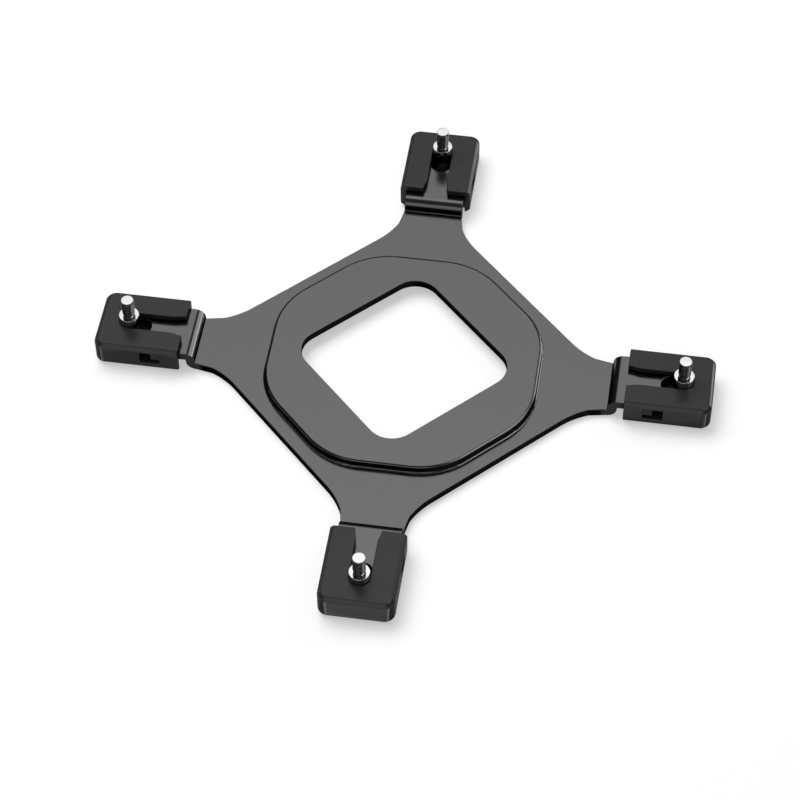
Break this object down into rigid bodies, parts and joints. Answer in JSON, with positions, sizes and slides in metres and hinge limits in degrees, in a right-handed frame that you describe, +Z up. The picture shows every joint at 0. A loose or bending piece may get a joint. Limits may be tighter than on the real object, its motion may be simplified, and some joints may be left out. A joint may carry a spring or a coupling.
{
  "type": "cpu cooler mounting bracket",
  "caption": "X-shaped stamped steel backplate with a raised panel and square opening, and a sliding plastic block with an upright threaded stud on each arm.",
  "frame": {"origin": "middle of the plate, on the plane that the plate's underside and the blocks rest on", "axes": "+Z up along the studs; X and Y square to the plate's straight sides, with the arms on the diagonals"},
  "size_m": [0.095, 0.095, 0.0117],
  "materials": {
    "painted_steel": "even semi-gloss black coat on sheet steel",
    "moulded_plastic": "fine satin moulded plastic, black",
    "nickel_plate": "bright nickel plate on turned steel"
  },
  "bodies": {
    "plate": {"backplate": "painted_steel"},
    "slider_ne": {"corner_block_ne": "moulded_plastic", "stud_ne": "nickel_plate"},
    "slider_nw": {"corner_block_nw": "moulded_plastic", "stud_nw": "nickel_plate"},
    "slider_sw": {"corner_block_sw": "moulded_plastic", "stud_sw": "nickel_plate"},
    "slider_se": {"corner_block_se": "moulded_plastic", "stud_se": "nickel_plate"}
  },
  "joints": [
    {"name": "slide_ne", "type": "slide", "parent": "plate", "child": "slider_ne", "axis": [-0.7071, -0.7071, 0], "range_m": [0, 0.00212]},
    {"name": "slide_nw", "type": "slide", "parent": "plate", "child": "slider_nw", "axis": [0.7071, -0.7071, 0], "range_m": [0, 0.00212]},
    {"name": "slide_sw", "type": "slide", "parent": "plate", "child": "slider_sw", "axis": [0.7071, 0.7071, 0], "range_m": [0, 0.00212]},
    {"name": "slide_se", "type": "slide", "parent": "plate", "child": "slider_se", "axis": [-0.7071, 0.7071, 0], "range_m": [0, 0.00212]}
  ]
}
